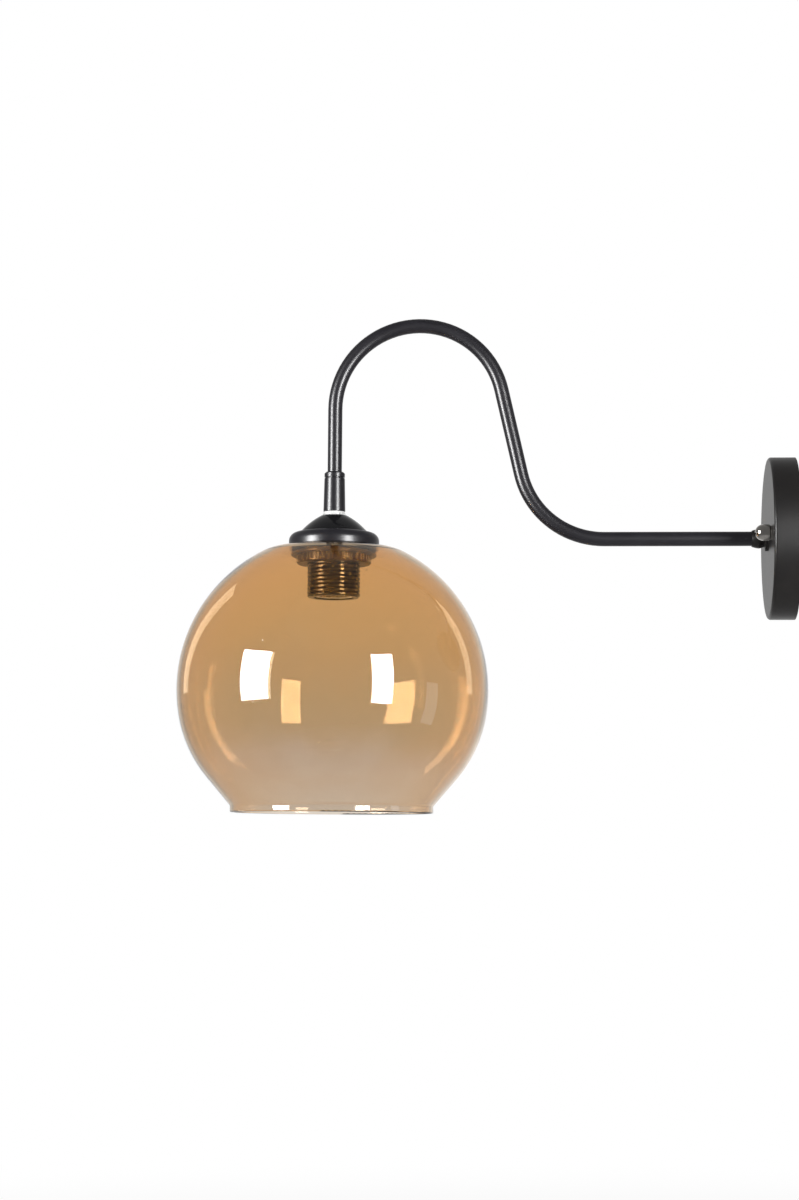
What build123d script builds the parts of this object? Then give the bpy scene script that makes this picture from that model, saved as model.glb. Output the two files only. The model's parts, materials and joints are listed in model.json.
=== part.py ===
from build123d import *
import os
from math import asin, cos, pi, radians, sin, tan

# A wall sconce whose bent tube arm carries a cut glass globe, open side down.
# Millimetres. X = 0 is the wall and the lamp stands out along -X; +Z is up.
# The origin is the centre of the wall plate's back, which is also the height of the arm's root.

# ---------------------------------------------------------------- driving sizes
reach = 318.5  # wall to the axis of the shade

canopy_radius = 56.0
canopy_depth = 18.4
canopy_sheet = 1.2
canopy_edge_round = 2.0

plate_margin = 12.0  # edge of the wall plate to the canopy's outside
plate_sheet = 1.6
cable_hole_radius = 9.0
slot_margin = 14.0  # middle of a slot to the plate's edge
slot_length = 12.0
slot_width = 4.5
hook_width = 10.0
hook_height = 6.4  # wall to the near side of the hook's tongue
hook_leg_gap = 0.5  # hook's leg to the canopy's inside
hook_leg_overlap = 2.0  # leg's foot over the plate's edge

stud_margin = 22.5  # stud to the canopy's outside
stud_radius = 2.0
stud_flange_radius = 4.0
stud_flange_height = 1.2
stud_tip_chamfer = 0.5
cap_nut_radius = 5.5
cap_nut_height = 11.3
cap_nut_neck_step = 0.8
cap_nut_neck_height = 0.9
cap_nut_roof = 2.2  # metal above the blind hole

tube_radius = 5.0
tube_wall = 1.0
bend_radius = 59.0
slant_angle = 77.0  # slanted run, above the horizontal
slant_length = 61.2
leg_length = 50.6  # straight run that goes down into the swivel

root_length = 10.9  # how far the root socket stands out of the canopy
root_lip = 0.6
root_bulge_wall = 1.75  # sleeve's thickest place, over the tube
root_bulge_share = 0.55  # place of the bulge along the socket
root_groove_wall = 0.9
root_groove_width = 0.9
root_shoulder_height = 1.0
root_edge = 0.4
root_flange_step = 2.1
root_flange_height = 2.3
root_thread_wall = 1.5
root_thread_length = 6.8
lock_washer_step = 3.5
lock_washer_sheet = 0.8
lock_washer_teeth = 12
lock_washer_notch_depth = 1.1
lock_washer_notch_width = 1.2
lock_nut_step = 2.0
lock_nut_height = 4.0
tube_stick_out = 0.6  # tube beyond the root socket, inside the canopy

lead_radius = 2.7
core_radius = 0.9
core_circle = 1.45  # middle of a core to the lead's axis
live_core_turn = 90.0  # cores round the lead, in degrees from the cap nut's far side
neutral_core_turn = -30.0
earth_core_turn = -150.0
tail_first_bend_share = 0.85  # of the tail's drop from the bush
tail_last_bend = 6.0
tail_run_in = 5.0  # straight run into the terminal block
bush_head_step = 0.6
bush_head_height = 1.0
bush_length = 6.0
bush_bore_gap = 0.25
lead_stick_out = 0.4  # lead beyond the bush

block_length = 16.0
block_width = 18.0
block_roof = 3.6  # canopy's inside to the terminal block
block_start = 16.0  # centre of the plate to the block
block_corner_round = 1.0
pole_spacing = 9.0
wire_share = 1 / 3  # height of the wire holes in the block
clamp_width = 4.6
clamp_floor = 0.9  # brass under the wire hole
clamp_roof = 4.0  # block above the clamp
clamp_end_wall = 1.0
wire_hole_radius = 1.5
terminal_screw_radius = 1.2
terminal_screw_head = 1.9
terminal_screw_head_height = 1.8
terminal_screw_spacing = 7.0
terminal_screw_lift = 0.5  # head above the clamp
block_screw_radius = 1.5
block_screw_head = 2.8
block_screw_head_height = 2.2
block_screw_well = 3.0

earth_across = 8.0  # earth screw, from the plate's centre
earth_drop = 25.0
earth_screw_radius = 2.0
earth_head_radius = 3.6
earth_head_height = 2.4
screw_edge = 0.3  # chamfer on every screw's head and tip
screw_slot_width_share = 0.3  # of the head's radius
screw_slot_depth_share = 0.4  # of the head's height
lug_ring_step = 2.0
lug_sheet = 0.8
lug_wall = 0.75
lug_barrel_length = 6.0
lug_neck = 1.5  # ring to the start of the barrel
lug_neck_width = 2.8
lug_run_in = 6.0  # straight run of the core into the barrel
lug_core_stop = 1.5  # core's end beyond the barrel
earth_tail_last_bend = 5.0

swivel_cap_height = 3.6
swivel_cap_chamfer = 1.1
swivel_gap = 0.7
tube_seat = 6.0  # length of tube held in the swivel cap
cap_stem_wall = 1.2  # round the tube, inside the sleeve
cap_stem_height = 4.3
journal_wall = 1.2
journal_length = 11.1
journal_bore_gap = 0.3
sleeve_top_wall = 0.9
sleeve_length = 23.7
sleeve_flare = 0.5
sleeve_thread_depth = 11.5
sleeve_edge = 0.3
snap_ring_height = 0.8
snap_groove_depth = 0.45
snap_ring_mouth = 2.4
stop_pin_share = 0.3  # pin's radius, of the step that it stands in
stop_pin_length = 2.6
stop_land_angle = 20.0

spacer_step = 2.85
spacer_height = 2.7
spacer_round = 0.4
nipple_radius = 4.95
nipple_bore_gap = 0.8
nipple_grip = 6.0
nipple_length = 18.0
nipple_nut_step = 2.05
nipple_nut_height = 3.0

dome_flat_radius = 9.0
dome_flat_round = 2.0
dome_step = 1.5  # dome's edge to the start of the gallery's rounded edge
dome_bulge = 0.95  # how far the dome's curve stands out from a straight cone
dome_height = 12.2
dome_sheet = 1.0
gallery_overhang = 7.5  # gallery beyond the collar
gallery_height = 9.8
gallery_edge_round = 6.0
gallery_edge_break = 0.6
gallery_sheet = 1.3
gallery_seat_depth = 7.2
gallery_seat_gap = 2.25  # holder cap to the gallery's inner wall

shell_bore = 13.25  # lamp thread, major radius
shell_sheet = 0.5
shell_length = 20.4
shell_step = 1.8  # shell's end inside the skirt's mouth
shell_flange = 2.5
flange_seat_step = 1.25  # core's seat inside the bore of the shell's flange
shell_tab_width = 4.0
shell_tab_sheet = 0.6
liner_gap = 0.3  # round the shell
liner_wall = 1.25
skirt_wall = 1.95
skirt_lip = 1.0
skirt_length = 36.2  # collar's underside to the mouth
thread_depth = 1.1
thread_pitch = 2.83
thread_flat = 0.55
thread_plain = 4.6  # plain stretch below the collar
thread_plain_step = 0.25
collar_overlap = 4.8  # collar beyond the glass's neck hole
collar_height = 2.0
skirt_neck_wall = 1.1
skirt_neck_height = 4.2
holder_cap_wall = 1.2
holder_cap_top_radius = 8.5
holder_cap_shoulder = 9.0  # height of the straight wall above the collar
holder_cap_shoulder_round = 3.0
holder_cap_height = 14.6
holder_cap_roof = 3.0
core_rim_wall = 1.4
core_height = 8.0  # insulating core between the contact and the terminals
core_top_drop = 0.2  # terminal deck below the collar's underside

strip_sheet = 0.5
strip_width = 5.0
contact_head_radius = 3.0
contact_head_height = 1.2
contact_edge_break = 0.6
contact_stem_radius = 1.5
contact_drop = 4.7  # contact's tip below the core
contact_cap_radius = 2.0
contact_cap_height = 0.5
spring_wall = 0.9
holder_terminal_size = 5.0
holder_terminal_offset = 8.5
holder_screw_radius = 1.25
holder_screw_head = 2.1
holder_screw_head_height = 1.5
holder_screw_lift = 0.4
holder_core_spread = 1.3  # core to the lead's axis
holder_core_bend = 3.6
holder_core_gap = 0.25
lead_tail = 1.2  # lead beyond the nipple

gasket_sheet = 1.3
lower_gasket_sheet = 1.0
globe_radius = 108.0
globe_wall = 2.5
globe_corner_radius = 42.9  # where the flat neck would meet the globe
globe_shoulder_round = 30.0
globe_turn_start = 10.0  # degrees below the centre where the lower curve starts
globe_turn_end = 40.4
globe_turn_step = 18.0  # lower curve's radius, short of the globe's
lip_radius = 70.2
lip_height = 4.75
lip_bend = 2.0
lip_round = 1.1

ring_flange_step = 3.8
ring_flange_height = 2.05
ring_wall = 7.25
ring_rib_depth = 0.7
ring_height = 7.6
ring_edge_break = 1.0
ring_flange_round = 0.6
ring_ribs = 48

# ---------------------------------------------------------------- clearances
seat_gap = 0.05  # radial, between pieces that are fixed together
running_gap = 0.05  # radial, in the swivel
hole_gap = 0.15  # radial, around a screw or stud
slide_gap = 0.1  # radial, round the contact's stem and the insulating core
thread_gap = 0.3  # radial, between the shade ring and the skirt
neck_gap = 0.75  # radial, between the glass and the skirt
face_gap = 0.1  # between flat faces that turn or slide past each other
hook_gap = 0.3  # round the hook's tongue
lead_gap = 0.4  # between the two lengths of lead at the swivel
cut_over = 1.0  # how far a cut runs past the face that it opens

# ---------------------------------------------------------------- places worked out from them
plate_radius = canopy_radius - plate_margin
slot_spacing = 2 * (plate_radius - slot_margin)
stud_offset = canopy_radius - stud_margin
hook_reach = canopy_radius - canopy_sheet - hook_leg_gap

root_thread_radius = tube_radius + root_thread_wall
root_flange_radius = root_thread_radius + root_flange_step
tube_start = canopy_depth - root_thread_length - tube_stick_out
lead_start = tube_start - bush_head_height - lead_stick_out
washer_top = canopy_depth - canopy_sheet
nut_top = washer_top - lock_washer_sheet

block_height = canopy_depth - canopy_sheet - plate_sheet - block_roof
block_top = plate_sheet + block_height
block_middle = block_start + block_length / 2
wire_depth = plate_sheet + block_height * wire_share
clamp_low = wire_depth - wire_hole_radius - clamp_floor
clamp_high = block_top - clamp_roof
lug_ring_radius = earth_screw_radius + lug_ring_step
lug_core_depth = plate_sheet + lug_wall + core_radius
lug_barrel_start = lug_ring_radius + lug_neck
lug_barrel_end = lug_barrel_start + lug_barrel_length

bend = radians(slant_angle)
bend_rise = bend_radius * (1 - cos(bend))
arch_centre = bend_rise + slant_length * sin(bend) - bend_radius * cos(bend)
run_end = reach - bend_radius - 2 * bend_radius * sin(bend) - slant_length * cos(bend)
tube_end = arch_centre - leg_length

journal_bore = lead_radius + journal_bore_gap
journal_radius = journal_bore + journal_wall
cap_stem_radius = tube_radius + cap_stem_wall
swivel_cap_radius = cap_stem_radius + running_gap + sleeve_top_wall
stop_pin_circle = (journal_radius + cap_stem_radius) / 2
stop_pin_radius = (cap_stem_radius - journal_radius) * stop_pin_share
cap_top = tube_end + tube_seat
cap_bottom = cap_top - swivel_cap_height
stem_bottom = cap_bottom - cap_stem_height
journal_end = stem_bottom - journal_length
sleeve_top = cap_bottom - swivel_gap
sleeve_bottom = sleeve_top - sleeve_length
sleeve_shoulder = stem_bottom - 2 * face_gap
sleeve_ledge = sleeve_bottom + sleeve_thread_depth
sleeve_thread_bore = nipple_radius + seat_gap
snap_ring_top = sleeve_ledge - face_gap
snap_ring_bottom = snap_ring_top - snap_ring_height

dome_top = sleeve_bottom - spacer_height
dome_bottom = dome_top - dome_height
gallery_bottom = dome_bottom - gallery_height
collar_top = dome_bottom - gallery_seat_depth
collar_bottom = collar_top - collar_height
mouth = collar_bottom - skirt_length
nipple_top = sleeve_bottom + nipple_grip
nipple_bottom = nipple_top - nipple_length
nipple_bore = lead_radius + nipple_bore_gap

liner_bore = shell_bore + shell_sheet + liner_gap
core_outside = liner_bore + liner_wall
skirt_bore = core_outside + slide_gap
skirt_root_radius = skirt_bore + skirt_wall
skirt_crest_radius = skirt_root_radius + thread_depth
skirt_neck_radius = skirt_bore + skirt_neck_wall
skirt_top = collar_top + skirt_neck_height
holder_cap_radius = skirt_neck_radius + seat_gap + holder_cap_wall
core_rim_bore = core_outside - core_rim_wall
core_top = collar_bottom - core_top_drop
core_bottom = core_top - core_height
shell_bottom = mouth + shell_step
shell_top = shell_bottom + shell_length
shell_flange_bore = shell_bore + shell_sheet - shell_flange
shell_tab_place = shell_flange_bore + shell_tab_sheet
core_recess_radius = shell_flange_bore - flange_seat_step
contact_tip = core_bottom - contact_drop
terminal_base = core_top + strip_sheet
terminal_wire_height = terminal_base + holder_terminal_size / 2
lead_bottom = nipple_bottom - lead_tail

neck_hole_radius = skirt_crest_radius + neck_gap
collar_radius = neck_hole_radius + collar_overlap
gallery_radius = collar_radius + gallery_overhang
gallery_seat_bore = holder_cap_radius + gallery_seat_gap
dome_radius = gallery_radius - gallery_edge_round - dome_step
ring_bore = skirt_crest_radius + thread_gap
ring_radius = ring_bore + ring_wall
ring_flange_radius = ring_radius + ring_flange_step
globe_top = collar_bottom - gasket_sheet
globe_centre = globe_top - (globe_radius**2 - globe_corner_radius**2) ** 0.5
ring_top = globe_top - globe_wall - lower_gasket_sheet - face_gap / 2
ring_bottom = ring_top - ring_height


# ---------------------------------------------------------------- helpers
def section(points, rounds=()):
    """A closed outline of (radius, height) points; rounds holds (radius, height, fillet) corners."""
    face = make_face(Polyline(*points, close=True))
    for across, up, size in rounds:
        corner = face.vertices().sort_by_distance((across, up))[0]
        face = fillet(corner, size)
    return face


def turned(face):
    """A section revolved about the vertical axis."""
    return revolve(Plane.XZ * face, Axis.Z)


def lathe(points, rounds=()):
    return turned(section(points, rounds))


def washer(outer, inner, low, high):
    """A flat ring between two heights."""
    return lathe([(inner, low), (outer, low), (outer, high), (inner, high)])


def rod(radius, low, high):
    return lathe([(0, low), (radius, low), (radius, high), (0, high)])


def hexagon(flats, bore, low, high):
    """A hexagonal nut with its corners turned off at 30 degrees."""
    across = flats / 2
    corner = across / cos(radians(30))
    drop = (corner - across) * tan(radians(30))
    blank = Pos(0, 0, low) * extrude(RegularPolygon(corner, 6), high - low)
    outside = lathe(
        [(0, low), (across, low), (corner, low + drop), (corner, high - drop), (across, high), (0, high)]
    )
    return (blank & outside) - rod(bore, low - cut_over, high + cut_over)


def block(x_low, x_high, y_low, y_high, z_low, z_high):
    size = (x_high - x_low, y_high - y_low, z_high - z_low)
    centre = ((x_low + x_high) / 2, (y_low + y_high) / 2, (z_low + z_high) / 2)
    return Pos(*centre) * Box(*size)


def slotted_screw(radius, tip, head_low, head_radius, head_height):
    """A cheese-head screw along the Z axis, with a driver slot."""
    top = head_low + head_height
    screw = lathe(
        [
            (0, tip),
            (radius - screw_edge, tip),
            (radius, tip + screw_edge),
            (radius, head_low),
            (head_radius, head_low),
            (head_radius, top - screw_edge),
            (head_radius - screw_edge, top),
            (0, top),
        ]
    )
    slot_depth = head_height * screw_slot_depth_share
    slot = Box(3 * head_radius, head_radius * screw_slot_width_share, 2 * slot_depth)
    return screw - Pos(0, 0, top) * slot


def at_shade(shape):
    """Moves a shape made about the Z axis to the shade's axis."""
    return Pos(-reach, 0, 0) * shape


def from_wall(shape, across=0, up=0):
    """Lays a shape made about the Z axis down, so that its height is its distance from the wall."""
    return Pos(0, across, up) * (Rot(0, -90, 0) * shape)


def group(solids):
    """Several loose solids of one node, each already in its place."""
    return Compound(children=solids)


def wire_along(points, bends):
    """A core of the lead, along straight runs that are joined by tangent arcs."""
    path = FilletPolyline(*points, radius=bends)
    start = Plane(origin=path @ 0, z_dir=path % 0)
    return sweep(start * Circle(core_radius), path=path)


# ---------------------------------------------------------------- wall side
def wall_plate():
    hook_corner = plate_radius - hook_leg_overlap
    half = hook_width / 2
    tongue = hook_height + plate_sheet
    plate = from_wall(rod(plate_radius, 0, plate_sheet))
    plate += block(-plate_sheet, 0, hook_corner, hook_reach, -half, half)
    plate += block(-tongue, 0, hook_reach - plate_sheet, hook_reach, -half, half)
    plate += block(
        -tongue, -hook_height, hook_reach - plate_sheet, canopy_radius - hook_gap, -half, half
    )
    low, high = -cut_over, plate_sheet + cut_over
    plate -= from_wall(rod(cable_hole_radius, low, high))
    slot = from_wall(extrude(SlotOverall(slot_length, slot_width), plate_sheet + 2 * cut_over))
    for side in (-1, 1):
        plate -= Pos(cut_over, 0, side * slot_spacing / 2) * slot
    plate -= from_wall(rod(stud_radius + seat_gap, low, high), -stud_offset)
    plate -= from_wall(rod(earth_screw_radius + seat_gap, low, high), earth_across, -earth_drop)
    plate -= from_wall(rod(block_screw_radius + seat_gap, low, high), block_middle)
    return plate


def canopy():
    inner = canopy_radius - canopy_sheet
    back = canopy_depth - canopy_sheet
    hole = root_thread_radius + hole_gap
    cup = from_wall(
        lathe(
            [
                (hole, canopy_depth),
                (canopy_radius, canopy_depth),
                (canopy_radius, 0),
                (inner, 0),
                (inner, back),
                (hole, back),
            ],
            [
                (canopy_radius, canopy_depth, canopy_edge_round),
                (inner, back, canopy_edge_round - canopy_sheet),
            ],
        )
    )
    cup -= from_wall(rod(stud_radius + hole_gap, 0, canopy_depth + cut_over), -stud_offset)
    half = hook_width / 2 + hook_gap
    tongue = hook_height + plate_sheet
    cup -= block(
        -tongue - hook_gap, hook_gap - hook_height, hook_reach, canopy_radius + cut_over, -half, half
    )
    return cup


def canopy_stud():
    flange = plate_sheet + stud_flange_height
    hole_end = canopy_depth + cap_nut_height - cap_nut_roof
    end = hole_end - stud_tip_chamfer
    stud = lathe(
        [
            (0, 0),
            (stud_radius, 0),
            (stud_radius, plate_sheet),
            (stud_flange_radius, plate_sheet),
            (stud_flange_radius, flange),
            (stud_radius, flange),
            (stud_radius, end - stud_tip_chamfer),
            (stud_radius - stud_tip_chamfer, end),
            (0, end),
        ]
    )
    return from_wall(stud, -stud_offset)


def cap_nut():
    neck = cap_nut_radius - cap_nut_neck_step
    hole = stud_radius + seat_gap
    top = canopy_depth + cap_nut_height
    hole_end = top - cap_nut_roof
    dome_start = top - cap_nut_radius
    neck_top = canopy_depth + cap_nut_neck_height
    body_start = neck_top + cap_nut_neck_step
    middle = cap_nut_radius * cos(pi / 4)
    outline = [
        Polyline(
            (0, top),
            (0, hole_end),
            (hole, hole_end),
            (hole, canopy_depth),
            (neck, canopy_depth),
            (neck, neck_top),
            (cap_nut_radius, body_start),
            (cap_nut_radius, dome_start),
        ),
        ThreePointArc((cap_nut_radius, dome_start), (middle, dome_start + middle), (0, top)),
    ]
    return from_wall(turned(make_face(outline)), -stud_offset)


def root_socket():
    bore = tube_radius + seat_gap
    lip = tube_radius + root_lip
    bulge = tube_radius + root_bulge_wall
    groove = tube_radius + root_groove_wall
    end = canopy_depth + root_length
    flange = canopy_depth + root_flange_height
    tail = canopy_depth - root_thread_length
    bulge_place = canopy_depth + root_bulge_share * root_length
    groove_end = flange + root_groove_width
    shoulder = groove_end + root_shoulder_height
    outline = [
        Polyline(
            (lip, end),
            (bore, end),
            (bore, tail),
            (root_thread_radius, tail),
            (root_thread_radius, canopy_depth),
            (root_flange_radius, canopy_depth),
            (root_flange_radius, flange - root_edge),
            (root_flange_radius - 2 * root_edge, flange),
            (groove, flange),
            (groove, groove_end),
            (bulge - root_edge, shoulder),
            (bulge, bulge_place),
        ),
        ThreePointArc((bulge, bulge_place), (bulge - root_edge, (bulge_place + end) / 2), (lip, end)),
    ]
    return from_wall(turned(make_face(outline)))


def root_lock_washer():
    outer = root_thread_radius + lock_washer_step
    ring = washer(outer, root_thread_radius + hole_gap, nut_top, washer_top)
    notch_size = (2 * lock_washer_notch_depth, lock_washer_notch_width, 4 * lock_washer_sheet)
    notch = Pos(outer, 0, nut_top) * Box(*notch_size)
    for place in PolarLocations(0, lock_washer_teeth):
        ring -= place * notch
    return from_wall(ring)


def root_lock_nut():
    flats = 2 * (root_thread_radius + lock_nut_step)
    return from_wall(hexagon(flats, root_thread_radius + seat_gap, nut_top - lock_nut_height, nut_top))


def arm_path(start, end):
    """The arm's centreline, from a distance off the wall to a height above the arm's root."""
    run = (-run_end, 0, 0)
    low_middle = (-run_end - bend_radius * sin(bend / 2), 0, bend_radius * (1 - cos(bend / 2)))
    slant = (-run_end - bend_radius * sin(bend), 0, bend_rise)
    slant_top = (slant[0] - slant_length * cos(bend), 0, bend_rise + slant_length * sin(bend))
    turn = (pi + pi / 2 - bend) / 2  # middle of the arch, seen from its centre
    arch_across = bend_radius - reach
    arch_middle = (arch_across + bend_radius * cos(turn), 0, arch_centre + bend_radius * sin(turn))
    leg = (-reach, 0, arch_centre)
    return Wire(
        [
            Edge.make_line((-start, 0, 0), run),
            Edge.make_three_point_arc(run, low_middle, slant),
            Edge.make_line(slant, slant_top),
            Edge.make_three_point_arc(slant_top, arch_middle, leg),
            Edge.make_line(leg, (-reach, 0, end)),
        ]
    )


def along_arm(radius, start, end):
    """A round bar along the arm's centreline."""
    first = Plane(origin=(-start, 0, 0), z_dir=(-1, 0, 0))
    return sweep(first * Circle(radius), path=arm_path(start, end))


def arm_tube():
    outside = along_arm(tube_radius, tube_start, tube_end)
    return outside - along_arm(tube_radius - tube_wall, tube_start, tube_end)


def arm_lead():
    return along_arm(lead_radius, lead_start, journal_end + lead_gap / 2)


def lead_bush():
    bore = lead_radius + bush_bore_gap
    head = tube_radius + bush_head_step
    spigot = tube_radius - tube_wall - seat_gap
    low = tube_start - bush_head_height
    high = tube_start + bush_length
    return from_wall(
        lathe(
            [(bore, low), (head, low), (head, tube_start), (spigot, tube_start), (spigot, high), (bore, high)]
        )
    )


def pole_places():
    return [-pole_spacing / 2, pole_spacing / 2]


def terminal_screw_places():
    return [block_middle - terminal_screw_spacing / 2, block_middle + terminal_screw_spacing / 2]


def clamp_blank(grow):
    """One brass clamp, or its pocket in the block when it is larger all round by grow."""
    across_low = block_start + clamp_end_wall - grow
    across_high = block_start + block_length - clamp_end_wall + grow
    half = clamp_width / 2 + grow
    return block(-clamp_high - grow, grow - clamp_low, across_low, across_high, -half, half)


def wire_hole():
    low = block_start - cut_over
    high = block_start + block_length + cut_over
    return Pos(-wire_depth, 0, 0) * (Rot(-90, 0, 0) * rod(wire_hole_radius, low, high))


def terminal_block():
    half = block_width / 2
    body = block(-block_top, -plate_sheet, block_start, block_start + block_length, -half, half)
    body = fillet(body.edges().filter_by(Axis.X), block_corner_round)
    for pole in pole_places():
        body -= Pos(0, 0, pole) * clamp_blank(seat_gap)
        body -= Pos(0, 0, pole) * wire_hole()
        for across in terminal_screw_places():
            well = rod(terminal_screw_head + hole_gap, wire_depth, block_top + cut_over)
            body -= from_wall(well, across, pole)
    body -= from_wall(rod(block_screw_radius + hole_gap, 0, block_top), block_middle)
    well = rod(block_screw_head + hole_gap, block_top - block_screw_well, block_top + cut_over)
    body -= from_wall(well, block_middle)
    return body


def terminal_clamps():
    clamps = []
    for pole in pole_places():
        clamp = clamp_blank(0) - wire_hole()
        for across in terminal_screw_places():
            drill = rod(terminal_screw_radius + seat_gap, wire_depth, clamp_high + cut_over)
            clamp -= from_wall(drill, across)
        clamps.append(Pos(0, 0, pole) * clamp)
    return group(clamps)


def terminal_screws():
    tip = wire_depth + core_radius
    head = clamp_high + terminal_screw_lift
    screws = []
    for pole in pole_places():
        for across in terminal_screw_places():
            screw = slotted_screw(
                terminal_screw_radius, tip, head, terminal_screw_head, terminal_screw_head_height
            )
            screws.append(from_wall(screw, across, pole))
    return group(screws)


def block_screw():
    head = block_top - block_screw_well
    screw = slotted_screw(block_screw_radius, 0, head, block_screw_head, block_screw_head_height)
    return from_wall(screw, block_middle)


def core_start(turn):
    """Where a core lies in the lead, as its offset across the wall and up it."""
    return core_circle * cos(radians(turn)), core_circle * sin(radians(turn))


def supply_tail(side, turn):
    """A core of the lead, from the bush to its clamp in the terminal block."""
    across, spread = core_start(turn)
    pole = side * pole_spacing / 2
    points = [
        (-lead_start, across, spread),
        (-wire_depth, across, spread),
        (-wire_depth, block_start - tail_run_in, pole),
        (-wire_depth, terminal_screw_places()[0] + terminal_screw_radius, pole),
    ]
    return wire_along(points, [tail_first_bend_share * (lead_start - wire_depth), tail_last_bend])


def earth_tail():
    """A core of the lead, from the bush to the barrel of the earth lug."""
    across, spread = core_start(earth_core_turn)
    barrel_place = lug_barrel_end - earth_drop
    points = [
        (-lead_start, across, spread),
        (-lug_core_depth, across, spread),
        (-lug_core_depth, earth_across, barrel_place + lug_run_in),
        (-lug_core_depth, earth_across, barrel_place - lug_barrel_length + lug_core_stop),
    ]
    return wire_along(points, [tail_first_bend_share * (lead_start - lug_core_depth), earth_tail_last_bend])


def earth_lug():
    top = plate_sheet + lug_sheet
    half = lug_neck_width / 2
    barrel = rod(core_radius + lug_wall, lug_barrel_start, lug_barrel_end)
    bore = rod(core_radius + seat_gap, lug_barrel_start - cut_over, lug_barrel_end + cut_over)
    ring = from_wall(rod(lug_ring_radius, plate_sheet, top))
    ring += block(-top, -plate_sheet, -half, half, 0, lug_barrel_end)
    ring += Pos(-lug_core_depth, 0, 0) * barrel
    ring -= Pos(-lug_core_depth, 0, 0) * bore
    ring -= from_wall(rod(earth_screw_radius + hole_gap, 0, top + cut_over))
    return Pos(0, earth_across, -earth_drop) * ring


def earth_screw():
    head = plate_sheet + lug_sheet
    screw = slotted_screw(earth_screw_radius, 0, head, earth_head_radius, earth_head_height)
    return from_wall(screw, earth_across, -earth_drop)


# ---------------------------------------------------------------- swivel
def swivel_cap():
    """The fixed half: it holds the tube's end and turns the sleeve about its journal."""
    bore = tube_radius + seat_gap
    groove = journal_radius - snap_groove_depth
    cap = lathe(
        [
            (bore, cap_top),
            (swivel_cap_radius - swivel_cap_chamfer, cap_top),
            (swivel_cap_radius, cap_top - swivel_cap_chamfer),
            (swivel_cap_radius, cap_bottom),
            (cap_stem_radius, cap_bottom),
            (cap_stem_radius, stem_bottom),
            (journal_radius, stem_bottom),
            (journal_radius, snap_ring_top),
            (groove, snap_ring_top),
            (groove, snap_ring_bottom),
            (journal_radius, snap_ring_bottom),
            (journal_radius, journal_end),
            (journal_bore, journal_end),
            (journal_bore, tube_end),
            (bore, tube_end),
        ]
    )
    track_half = stop_pin_radius + hole_gap
    track_top = sleeve_shoulder + stop_pin_length / 2 + face_gap
    track = washer(
        stop_pin_circle + track_half, stop_pin_circle - track_half, stem_bottom - cut_over, track_top
    )
    wide = 2 * cap_stem_radius
    rise = wide * tan(radians(stop_land_angle / 2))
    land = extrude(make_face(Polyline((0, 0), (wide, rise), (wide, -rise), close=True)), track_top)
    return at_shade(cap - (track - land))


def stop_pin(low):
    return Pos(-stop_pin_circle, 0, 0) * rod(stop_pin_radius, low, sleeve_shoulder + stop_pin_length / 2)


def swivel_sleeve():
    seat = cap_stem_radius + running_gap
    foot = swivel_cap_radius + sleeve_flare
    journal_hole = journal_radius + running_gap
    sleeve = lathe(
        [
            (seat, sleeve_top),
            (swivel_cap_radius - sleeve_edge, sleeve_top),
            (swivel_cap_radius, sleeve_top - sleeve_edge),
            (foot, sleeve_bottom + sleeve_edge),
            (foot - sleeve_edge, sleeve_bottom),
            (sleeve_thread_bore, sleeve_bottom),
            (sleeve_thread_bore, sleeve_ledge),
            (journal_hole, sleeve_ledge),
            (journal_hole, sleeve_shoulder),
            (seat, sleeve_shoulder),
        ]
    )
    return at_shade(sleeve - stop_pin(sleeve_shoulder - stop_pin_length / 2))


def swivel_stop_pin():
    return at_shade(stop_pin(sleeve_shoulder - stop_pin_length / 2))


def swivel_retaining_ring():
    outer = sleeve_thread_bore - face_gap
    ring = washer(outer, journal_radius - snap_groove_depth, snap_ring_bottom, snap_ring_top)
    mouth_cut = Pos(0, outer, snap_ring_top) * Box(snap_ring_mouth, outer, 4 * snap_ring_height)
    return at_shade(ring - mouth_cut)


# ---------------------------------------------------------------- lampholder
def spacer_ring():
    bore = nipple_radius + hole_gap
    outer = nipple_radius + spacer_step
    return at_shade(
        lathe(
            [(bore, dome_top), (outer, dome_top), (outer, sleeve_bottom), (bore, sleeve_bottom)],
            [(outer, sleeve_bottom, spacer_round), (outer, dome_top, spacer_round)],
        )
    )


def holder_nipple():
    return at_shade(washer(nipple_radius, nipple_bore, nipple_bottom, nipple_top))


def nipple_nut():
    high = dome_top - dome_sheet
    flats = 2 * (nipple_radius + nipple_nut_step)
    return at_shade(hexagon(flats, sleeve_thread_bore, high - nipple_nut_height, high))


def dome_curve(inset):
    """The start, middle and end of the dome's curve, moved into the sheet by inset."""
    run = dome_radius - dome_flat_radius
    slope = (run**2 + dome_height**2) ** 0.5
    out = (dome_height / slope, run / slope)
    start = (dome_flat_radius - inset * out[0], dome_top - inset * out[1])
    end = (dome_radius - inset * out[0], dome_bottom - inset * out[1])
    middle = ((start[0] + end[0]) / 2 + dome_bulge * out[0], (start[1] + end[1]) / 2 + dome_bulge * out[1])
    return start, middle, end


def dome_cover():
    bore = nipple_radius + hole_gap
    under = dome_top - dome_sheet
    start, middle, end = dome_curve(0)
    in_start, in_middle, in_end = dome_curve(dome_sheet)
    outline = [
        Polyline(in_start, (in_start[0], under), (bore, under), (bore, dome_top), start),
        ThreePointArc(start, middle, end),
        Line(end, in_end),
        ThreePointArc(in_end, in_middle, in_start),
    ]
    face = make_face(outline)
    face = fillet(face.vertices().sort_by_distance(start)[0], dome_flat_round)
    cover = turned(face) - rod(2 * dome_radius, dome_bottom - 2 * dome_sheet, dome_bottom)
    return at_shade(cover)


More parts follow.
